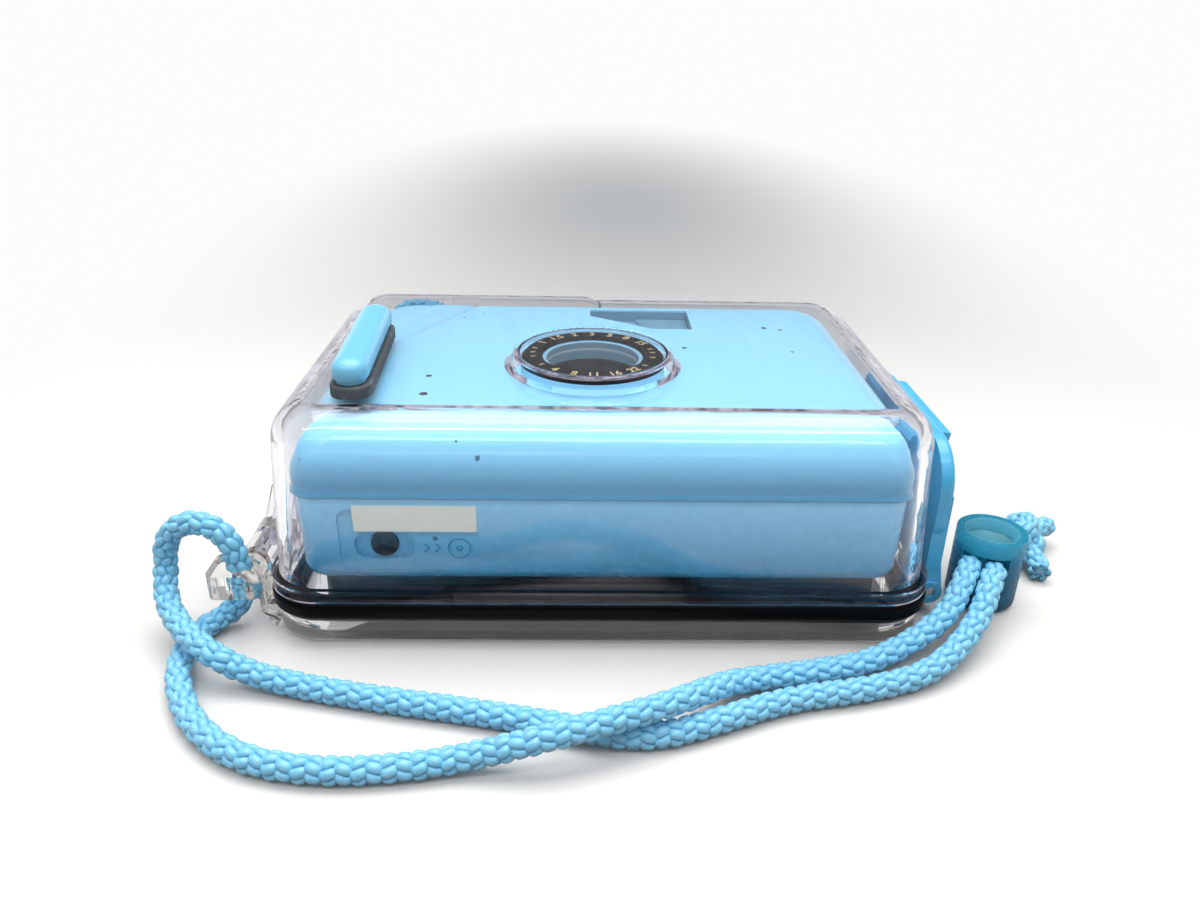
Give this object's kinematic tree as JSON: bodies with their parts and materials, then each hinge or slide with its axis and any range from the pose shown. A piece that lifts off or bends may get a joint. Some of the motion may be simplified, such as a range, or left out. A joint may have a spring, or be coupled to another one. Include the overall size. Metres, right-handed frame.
{
  "type": "compact film camera in splash-proof case",
  "caption": "A pocket film camera inside a clear hinged splash-proof case with a seal, side latch, sliding trigger, film knob and a braided wrist cord with a push lock.",
  "frame": {"origin": "centre of the case's flat back, on the surface that the case lies on", "axes": "+Z points out of the lens, away from the surface; +Y points to the camera's top, where its button is; +X runs along the camera's width, towards the latch"},
  "size_m": [0.1811, 0.1177, 0.0503],
  "materials": {
    "clear_shell": "clear moulded, polished",
    "clear_window": "clear, optically flat",
    "seal_rubber": "black, satin",
    "pad_rubber": "dark grey, matt",
    "steel": "turned",
    "blue_plastic": "moulded, satin gloss",
    "sky_plastic": "moulded, gloss",
    "black_plastic": "moulded, matt",
    "grey_plastic": "moulded, matt",
    "lens_clear": "polished",
    "finder_clear": "clear moulded",
    "label_stock": "pale foil, satin",
    "cord_braid": "plump braid",
    "teal_plastic": "translucent moulded"
  },
  "bodies": {
    "case": {"back_case": "clear_shell", "seal_gasket": "seal_rubber", "hinge_pins": "steel", "latch_pin": "steel", "camera_front_cover": "sky_plastic", "camera_body_shell": "sky_plastic", "back_door": "black_plastic", "film_chassis": "black_plastic", "case_screws": "steel", "lens_mount": "black_plastic", "front_lens": "lens_clear", "rear_lens": "lens_clear", "lens_cone": "sky_plastic", "lens_ring": "black_plastic", "finder_window": "finder_clear", "blank_label": "label_stock", "cord_upper": "cord_braid", "cord_lower": "cord_braid", "cord_lock": "teal_plastic", "cord_knot": "cord_braid", "cord_tails": "cord_braid"},
    "lid": {"front_case": "clear_shell", "port_window": "clear_window", "trigger_pad": "pad_rubber", "trigger_seal": "seal_rubber", "advance_seal": "seal_rubber"},
    "trigger": {"trigger_lever": "blue_plastic", "trigger_shaft": "steel", "trigger_arm": "clear_window"},
    "advance": {"advance_knob": "blue_plastic", "advance_shaft": "steel", "drive_roller": "seal_rubber"},
    "latch": {"latch_lever": "blue_plastic"},
    "button": {"shutter_button": "black_plastic"},
    "blade": {"shutter_blade": "black_plastic"},
    "spool": {"take_up_spool": "black_plastic", "wind_wheel": "black_plastic"},
    "sprocket": {"film_sprocket": "black_plastic"},
    "rewind": {"rewind_knob": "black_plastic", "rewind_crank": "grey_plastic"},
    "release": {"rewind_release": "black_plastic"},
    "plunger": {"lock_plunger": "teal_plastic"}
  },
  "joints": [
    {"name": "lid_hinge", "type": "hinge", "parent": "case", "child": "lid", "pos_m": [-0.065, 0, 0.0093], "axis": [0, -1, 0], "range_deg": [0, 100], "deforming": ["cord_upper"]},
    {"name": "latch_pivot", "type": "hinge", "parent": "case", "child": "latch", "pos_m": [0.0624, 0, 0.0052], "axis": [0, 1, 0], "range_deg": [0, 10]},
    {"name": "trigger_turn", "type": "hinge", "parent": "lid", "child": "trigger", "pos_m": [-0.0451, 0.0046, 0.0465], "axis": [0, 0, -1], "range_deg": [0, 4.6], "stiffness_Nm_per_rad": 0.15},
    {"name": "button_press", "type": "slide", "parent": "case", "child": "button", "axis": [0, -1, 0], "range_m": [0, 0.00127]},
    {"name": "blade_swing", "type": "hinge", "parent": "case", "child": "blade", "pos_m": [0.008, -0.0087, 0.0336], "axis": [0, 0, 1], "range_deg": [0, 44]},
    {"name": "advance_turn", "type": "hinge", "parent": "lid", "child": "advance", "pos_m": [-0.0424, 0.0392, 0.0319], "axis": [0, 1, 0], "continuous": true},
    {"name": "spool_turn", "type": "hinge", "parent": "case", "child": "spool", "pos_m": [-0.0403, 0.036, 0.02], "axis": [0, 1, 0], "continuous": true},
    {"name": "sprocket_turn", "type": "hinge", "parent": "case", "child": "sprocket", "pos_m": [-0.026, 0, 0.0141], "axis": [0, 1, 0], "continuous": true},
    {"name": "rewind_turn", "type": "hinge", "parent": "case", "child": "rewind", "pos_m": [0.035, 0.034, 0.02], "axis": [0, 1, 0], "continuous": true},
    {"name": "release_press", "type": "slide", "parent": "case", "child": "release", "axis": [0, 1, 0], "range_m": [0, 0.0012], "stiffness_N_per_m": 150},
    {"name": "plunger_press", "type": "slide", "parent": "case", "child": "plunger", "axis": [0, 0, -1], "range_m": [0, 0.0016], "stiffness_N_per_m": 300}
  ],
  "couplings": [
    {"joint": "button_press", "follows": "trigger_turn", "m_per_rad": 0.015},
    {"joint": "blade_swing", "follows": "trigger_turn", "ratio": 9.1667},
    {"joint": "spool_turn", "follows": "advance_turn", "ratio": -0.5},
    {"joint": "sprocket_turn", "follows": "advance_turn", "ratio": -0.5}
  ]
}
